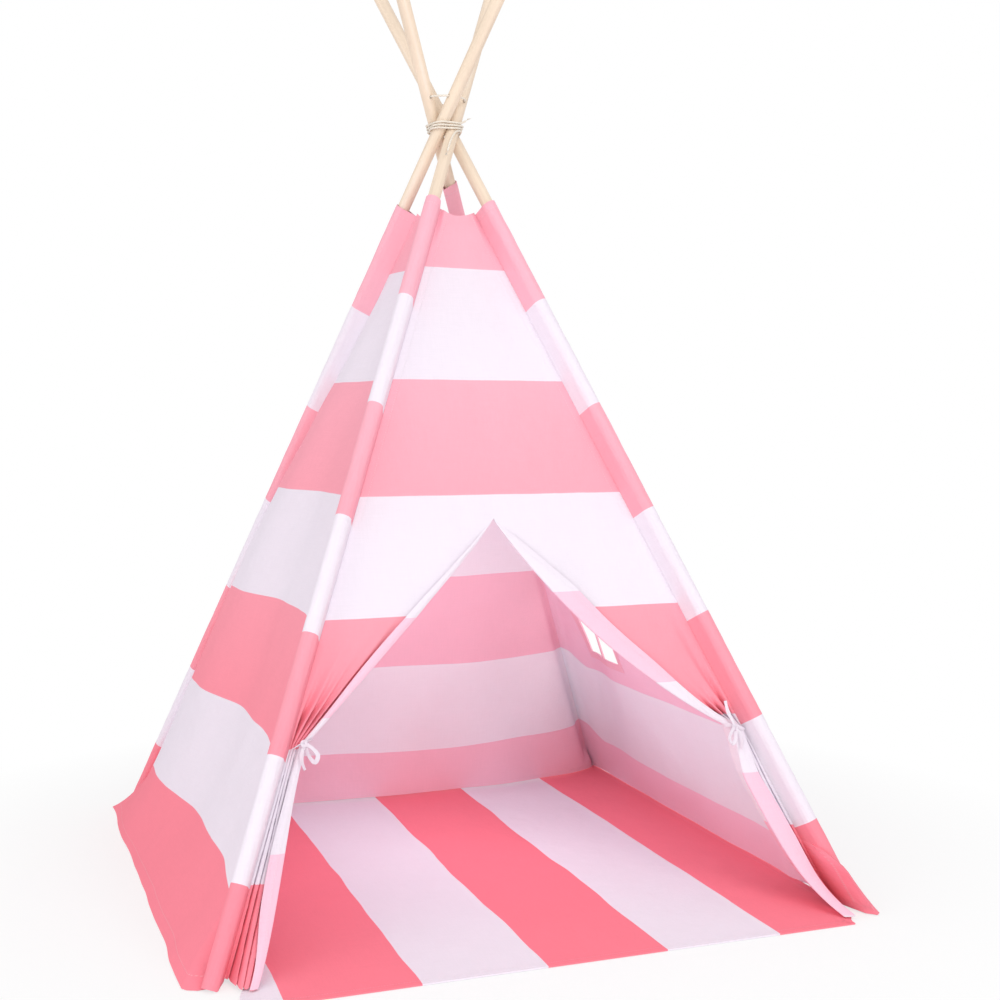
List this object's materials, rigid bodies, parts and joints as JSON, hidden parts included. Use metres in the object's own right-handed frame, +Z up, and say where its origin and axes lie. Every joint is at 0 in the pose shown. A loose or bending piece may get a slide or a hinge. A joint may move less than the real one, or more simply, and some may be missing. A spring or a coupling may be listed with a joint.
{
  "type": "kids teepee",
  "caption": "Child's square teepee: lashed wooden poles in cloth sleeves, striped cover with a centre slit door, tied-back flaps, side window and striped floor mat.",
  "frame": {"origin": "on the floor, under the middle of the whole tent with its mat", "axes": "+Z up, -Y out of the door, +X to the right of someone who stands in front and faces the door"},
  "size_m": [1.2533, 1.2438, 1.6418],
  "materials": {
    "pole_wood": "smooth bare pine",
    "ferrule": "satin tube",
    "cover_fabric": "plain-weave cotton canvas, wide coral-pink and white stripes",
    "trim_fabric": "white cotton tape",
    "ribbon": "white cotton ribbon",
    "twine": "natural cotton twine",
    "mat_fabric": "plain-weave cotton canvas, wide coral-pink and white stripes"
  },
  "bodies": {
    "mat": {"floor_mat": "mat_fabric"},
    "lashing": {"twine_lashing": "twine", "twine_ring": "twine", "left_wall": "cover_fabric", "right_wall": "cover_fabric", "window_frame": "trim_fabric"},
    "front_frame": {"front_panel": "cover_fabric", "left_tie_ribbon": "ribbon", "right_tie_ribbon": "ribbon", "front_left_pole_lower": "pole_wood", "front_left_pole_middle": "pole_wood", "front_left_pole_upper": "pole_wood", "front_left_ferrule_lower": "ferrule", "front_left_ferrule_upper": "ferrule", "front_left_sleeve": "cover_fabric", "front_right_pole_lower": "pole_wood", "front_right_pole_middle": "pole_wood", "front_right_pole_upper": "pole_wood", "front_right_ferrule_lower": "ferrule", "front_right_ferrule_upper": "ferrule", "front_right_sleeve": "cover_fabric"},
    "back_frame": {"back_wall": "cover_fabric", "back_left_pole_lower": "pole_wood", "back_left_pole_middle": "pole_wood", "back_left_pole_upper": "pole_wood", "back_left_ferrule_lower": "ferrule", "back_left_ferrule_upper": "ferrule", "back_left_sleeve": "cover_fabric", "back_right_pole_lower": "pole_wood", "back_right_pole_middle": "pole_wood", "back_right_pole_upper": "pole_wood", "back_right_ferrule_lower": "ferrule", "back_right_ferrule_upper": "ferrule", "back_right_sleeve": "cover_fabric"},
    "left_door": {"left_flap_hem": "trim_fabric", "left_flap": "cover_fabric"},
    "right_door": {"right_flap_hem": "trim_fabric", "right_flap": "cover_fabric"}
  },
  "joints": [
    {"name": "tent_lift", "type": "slide", "parent": "mat", "child": "lashing", "axis": [0, 0, 1], "range_m": [0, 0.22]},
    {"name": "front_fold", "type": "hinge", "parent": "lashing", "child": "front_frame", "pos_m": [0, 0.0386, 1.34], "axis": [1, 0, 0], "range_deg": [0, 15.5], "deforming": ["left_wall", "right_wall", "window_frame", "twine_ring"]},
    {"name": "back_fold", "type": "hinge", "parent": "lashing", "child": "back_frame", "pos_m": [0, 0.0386, 1.34], "axis": [-1, 0, 0], "range_deg": [0, 15.5]},
    {"name": "left_door_swing", "type": "hinge", "parent": "front_frame", "child": "left_door", "pos_m": [0, -0.22095, 0.672], "axis": [0, -0.9202, 0.3914], "range_deg": [0, 45], "deforming": ["left_flap"]},
    {"name": "right_door_swing", "type": "hinge", "parent": "front_frame", "child": "right_door", "pos_m": [0, -0.22095, 0.672], "axis": [0, 0.9202, -0.3914], "range_deg": [0, 45], "deforming": ["right_flap"]}
  ],
  "couplings": [
    {"joint": "back_fold", "follows": "front_fold", "ratio": 1},
    {"joint": "tent_lift", "follows": "front_fold", "m_per_rad": 0.8}
  ]
}
